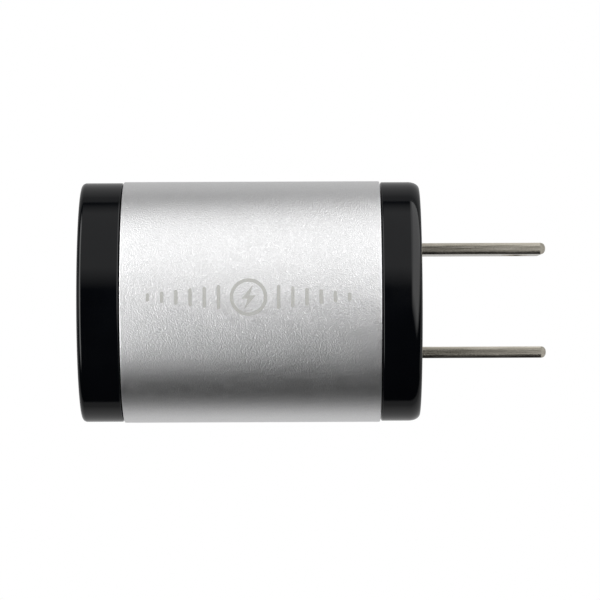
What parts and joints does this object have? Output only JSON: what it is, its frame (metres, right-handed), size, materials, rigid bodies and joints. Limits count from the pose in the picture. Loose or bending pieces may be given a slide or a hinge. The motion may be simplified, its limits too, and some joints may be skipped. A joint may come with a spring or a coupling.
{
  "type": "usb wall charger",
  "caption": "Compact wall charger: an elliptical aluminium sleeve between gloss end caps, with a type A power socket at the front and flat plug blades at the back.",
  "frame": {"origin": "centre of the rear cap's flat end face, the face that meets the wall outlet, between the two blades", "axes": "+X along the blades into the outlet, +Y across the two blades, +Z along the blades' width, which is the body's thin direction"},
  "size_m": [0.057, 0.0298, 0.02],
  "materials": {
    "gloss_black": "high-gloss moulded polycarbonate, black",
    "satin_aluminium": "bead-blasted and clear anodised, satin",
    "nickel": "nickel-plated brass with fine lengthwise drawing marks",
    "tinned_steel": "tin-plated stamped steel",
    "port_plastic": "moulded off-white nylon",
    "gold_flash": "gold-flashed phosphor bronze",
    "board_laminate": "paper-phenolic circuit board",
    "ferrite": "ground ferrite",
    "phenolic": "moulded phenolic",
    "polyester_tape": "yellow polyester tape",
    "can_aluminium": "drawn aluminium can",
    "black_wrap": "shrunk sleeve, black",
    "green_wrap": "shrunk sleeve, dark green",
    "bung_rubber": "rubber seal",
    "tinned_wire": "tinned copper wire",
    "resistor_coat": "cement coat, blue-grey",
    "inductor_coat": "lacquer coat, green",
    "epoxy_black": "moulded black epoxy",
    "white_epoxy": "moulded white epoxy",
    "ceramic_blue": "dipped epoxy coat, blue",
    "chip_ceramic": "fired ceramic",
    "red_jacket": "insulated wire, red",
    "black_jacket": "insulated wire, black"
  },
  "bodies": {
    "charger": {"front_cap": "gloss_black", "metal_sleeve": "satin_aluminium", "rear_housing": "gloss_black", "blade_line": "nickel", "blade_neutral": "nickel", "usb_shell": "tinned_steel", "usb_insulator": "port_plastic", "usb_contact_tail_1": "gold_flash", "usb_contact_tail_2": "gold_flash", "usb_contact_tail_3": "gold_flash", "usb_contact_tail_4": "gold_flash", "circuit_board": "board_laminate", "transformer_bobbin": "phenolic", "transformer_winding": "polyester_tape", "transformer_tape": "polyester_tape", "transformer_core_front": "ferrite", "transformer_core_rear": "ferrite", "fuse_resistor_body": "resistor_coat", "fuse_resistor_lead": "tinned_wire", "input_inductor_body": "inductor_coat", "input_inductor_lead": "tinned_wire", "safety_capacitor": "ceramic_blue", "bridge_rectifier": "epoxy_black", "controller_ic": "epoxy_black", "optocoupler": "white_epoxy", "output_diode": "epoxy_black", "clamp_diode": "epoxy_black", "sense_resistor": "epoxy_black", "snubber_resistor": "epoxy_black", "bleed_resistor": "epoxy_black", "filter_capacitor": "chip_ceramic", "line_wire": "red_jacket", "neutral_wire": "black_jacket", "input_capacitor_1_can": "can_aluminium", "input_capacitor_1_wrap": "black_wrap", "input_capacitor_1_bung": "bung_rubber", "input_capacitor_1_lead_plus": "tinned_wire", "input_capacitor_1_lead_minus": "tinned_wire", "input_capacitor_2_can": "can_aluminium", "input_capacitor_2_wrap": "black_wrap", "input_capacitor_2_bung": "bung_rubber", "input_capacitor_2_lead_plus": "tinned_wire", "input_capacitor_2_lead_minus": "tinned_wire", "output_capacitor_can": "can_aluminium", "output_capacitor_wrap": "green_wrap", "output_capacitor_bung": "bung_rubber", "output_capacitor_lead_plus": "tinned_wire", "output_capacitor_lead_minus": "tinned_wire"},
    "contact_1": {"usb_contact_leaf_1": "gold_flash"},
    "contact_2": {"usb_contact_leaf_2": "gold_flash"},
    "contact_3": {"usb_contact_leaf_3": "gold_flash"},
    "contact_4": {"usb_contact_leaf_4": "gold_flash"}
  },
  "joints": [
    {"name": "contact_1_flex", "type": "hinge", "parent": "charger", "child": "contact_1", "pos_m": [-0.03165, -0.0035, 0.00075], "axis": [0, 1, 0], "range_deg": [0, 4.5], "stiffness_Nm_per_rad": 0.06},
    {"name": "contact_2_flex", "type": "hinge", "parent": "charger", "child": "contact_2", "pos_m": [-0.03165, -0.001, 0.00075], "axis": [0, 1, 0], "range_deg": [0, 4.5], "stiffness_Nm_per_rad": 0.06},
    {"name": "contact_3_flex", "type": "hinge", "parent": "charger", "child": "contact_3", "pos_m": [-0.03165, 0.001, 0.00075], "axis": [0, 1, 0], "range_deg": [0, 4.5], "stiffness_Nm_per_rad": 0.06},
    {"name": "contact_4_flex", "type": "hinge", "parent": "charger", "child": "contact_4", "pos_m": [-0.03165, 0.0035, 0.00075], "axis": [0, 1, 0], "range_deg": [0, 4.5], "stiffness_Nm_per_rad": 0.06}
  ]
}
